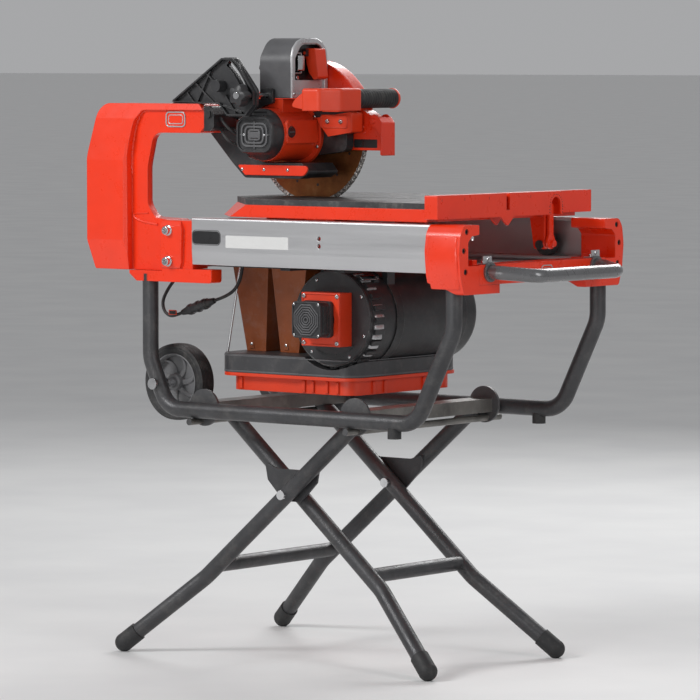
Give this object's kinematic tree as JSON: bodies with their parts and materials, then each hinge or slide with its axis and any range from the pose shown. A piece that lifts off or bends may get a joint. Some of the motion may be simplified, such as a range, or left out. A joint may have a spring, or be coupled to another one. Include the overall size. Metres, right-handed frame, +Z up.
{
  "type": "masonry saw",
  "caption": "Masonry saw with a sliding table, a swing-arm cutting head, an under-table dust collector and a folding cross-leg stand.",
  "frame": {"origin": "on the floor under the centre of the object's box", "axes": "+X towards the operator, along the table's travel; +Z up; -Y the side the arm's column stands on"},
  "size_m": [0.941, 0.484, 1.104],
  "materials": {
    "powder_tube": "dark grey hammered powder coat",
    "zinc_channel": "light grey galvanised sheet",
    "black_rubber": "matt black rubber",
    "tyre": "matt black rubber with a fine grain",
    "red_paint": "gloss orange-red paint on castings",
    "red_plastic": "orange-red moulded plastic",
    "orange_duct": "orange-brown moulded duct",
    "rail_aluminium": "satin anodised, brushed along its length",
    "steel_bright": "bright zinc or chrome",
    "black_plastic": "satin black moulded plastic",
    "grey_plastic": "dark grey moulded plastic",
    "black_metal": "satin black paint",
    "blade_steel": "rust-brown steel core with a sintered rim",
    "table_black": "black textured table mat with wear",
    "filter_paper": "pleated filter"
  },
  "bodies": {
    "stand_outer": {"stand_outer_legs": "powder_tube", "stand_front_crossbar": "zinc_channel", "stand_outer_feet": "black_rubber", "stand_pivot_bolts": "steel_bright"},
    "stand_inner": {"stand_inner_legs": "powder_tube", "stand_rear_crossbar": "zinc_channel", "stand_inner_feet": "black_rubber"},
    "saw_base": {"base_tubes": "powder_tube", "base_pads": "black_rubber", "wheel_axles": "steel_bright", "front_castings": "red_paint", "front_beam": "red_paint", "front_handle": "powder_tube", "side_rails": "rail_aluminium", "rear_casting": "red_paint", "deck_plate": "black_metal", "arm_cover": "red_paint", "arm_core": "red_paint", "pivot_knuckle": "black_metal", "quadrant_plate": "black_plastic", "dust_chutes": "orange_duct", "drum_shell": "black_plastic", "drum_end_cover": "black_plastic", "vacuum_motor_flange": "red_plastic", "vacuum_motor_cap": "black_plastic", "vacuum_filter": "filter_paper", "vacuum_hangers": "steel_bright", "dust_lid": "grey_plastic", "harness_connector": "black_rubber", "harness_rear_cable": "black_rubber", "harness_front_cable": "black_rubber", "frame_screws": "steel_bright"},
    "left_wheel_body": {"left_wheel": "tyre"},
    "right_wheel_body": {"right_wheel": "tyre"},
    "limit_knob_body": {"limit_knob": "black_plastic"},
    "head": {"head_beam": "black_metal", "motor_housing": "red_plastic", "motor_cap": "black_plastic", "gear_case": "black_metal", "blade_guard": "red_paint", "handle_bracket": "red_plastic", "handle_grip": "black_rubber", "switch_box": "grey_plastic", "head_screws": "black_plastic"},
    "lock_knob_body": {"lock_knob": "black_plastic"},
    "spindle": {"arbor_rotor": "steel_bright", "saw_blade": "blade_steel", "blade_flanges": "steel_bright"},
    "flap": {"guard_flap": "red_paint"},
    "paddle": {"power_paddle": "red_plastic"},
    "rocker": {"rocker_switch": "steel_bright"},
    "table": {"table_top": "table_black", "table_frame": "red_paint", "fence": "red_paint"},
    "front_roller_pair": {"front_rollers": "black_rubber"},
    "rear_roller_pair": {"rear_rollers": "black_rubber"},
    "lever": {"fence_lever": "red_paint"},
    "fan": {"vacuum_impeller": "grey_plastic"},
    "latch": {"drum_latch": "steel_bright"},
    "tray": {"dust_tray": "red_plastic"}
  },
  "joints": [
    {"name": "saw_lift", "type": "slide", "parent": "stand_outer", "child": "saw_base", "axis": [0, 0, 1], "range_m": [0, 0.27]},
    {"name": "stand_fold", "type": "hinge", "parent": "stand_outer", "child": "stand_inner", "pos_m": [-0.0545, 0, 0.3], "axis": [0, 1, 0], "range_deg": [0, 65]},
    {"name": "left_wheel_spin", "type": "hinge", "parent": "saw_base", "child": "left_wheel_body", "pos_m": [-0.3135, -0.1545, 0.4875], "axis": [0, 1, 0], "continuous": true},
    {"name": "right_wheel_spin", "type": "hinge", "parent": "saw_base", "child": "right_wheel_body", "pos_m": [-0.3135, 0.1545, 0.4875], "axis": [0, 1, 0], "continuous": true},
    {"name": "limit_knob_turn", "type": "hinge", "parent": "saw_base", "child": "limit_knob_body", "pos_m": [-0.17273, -0.21, 1.01977], "axis": [0, 1, 0], "range_deg": [0, 360]},
    {"name": "head_plunge", "type": "hinge", "parent": "saw_base", "child": "head", "pos_m": [-0.2295, -0.135, 0.962], "axis": [0, -1, 0], "range_deg": [0, 32]},
    {"name": "lock_knob_turn", "type": "hinge", "parent": "head", "child": "lock_knob_body", "pos_m": [-0.1132, -0.22, 1.00204], "axis": [0, 1, 0], "range_deg": [0, 360]},
    {"name": "blade_spin", "type": "hinge", "parent": "head", "child": "spindle", "pos_m": [-0.1095, -0.025, 0.934], "axis": [0, 1, 0], "continuous": true},
    {"name": "guard_flap_swing", "type": "hinge", "parent": "head", "child": "flap", "pos_m": [0.0425, -0.025, 0.958], "axis": [0, -1, 0], "range_deg": [0, 40]},
    {"name": "paddle_press", "type": "hinge", "parent": "head", "child": "paddle", "pos_m": [-0.0705, -0.082, 1.078], "axis": [0, 1, 0], "range_deg": [0, 8], "stiffness_Nm_per_rad": 0.05, "springref_deg": -17.19},
    {"name": "rocker_tilt", "type": "hinge", "parent": "head", "child": "rocker", "pos_m": [-0.0805, -0.113, 1.06], "axis": [0, 1, 0], "range_deg": [-7, 7]},
    {"name": "table_slide", "type": "slide", "parent": "saw_base", "child": "table", "axis": [1, 0, 0], "range_m": [-0.13, 0.1]},
    {"name": "front_roller_spin", "type": "hinge", "parent": "table", "child": "front_roller_pair", "pos_m": [0.2455, 0, 0.7378], "axis": [0, 1, 0], "range_deg": [-385, 297]},
    {"name": "rear_roller_spin", "type": "hinge", "parent": "table", "child": "rear_roller_pair", "pos_m": [-0.0625, 0, 0.7378], "axis": [0, 1, 0], "range_deg": [-385, 297]},
    {"name": "fence_lever_tilt", "type": "hinge", "parent": "table", "child": "lever", "pos_m": [0.3135, 0.116, 0.744], "axis": [1, 0, 0], "range_deg": [-6, 6]},
    {"name": "fan_spin", "type": "hinge", "parent": "saw_base", "child": "fan", "pos_m": [0.0305, -0.12, 0.613], "axis": [0, 1, 0], "continuous": true},
    {"name": "latch_open", "type": "hinge", "parent": "saw_base", "child": "latch", "pos_m": [0.08806, -0.092, 0.68668], "axis": [0.6157, 0, 0.788], "range_deg": [0, 80]},
    {"name": "tray_slide", "type": "slide", "parent": "saw_base", "child": "tray", "axis": [0, -1, 0], "range_m": [0, 0.3]}
  ],
  "couplings": [
    {"joint": "stand_fold", "follows": "saw_lift", "rad_per_m": 4.1667},
    {"joint": "front_roller_spin", "follows": "table_slide", "rad_per_m": 51.282},
    {"joint": "rear_roller_spin", "follows": "table_slide", "rad_per_m": 51.282}
  ]
}
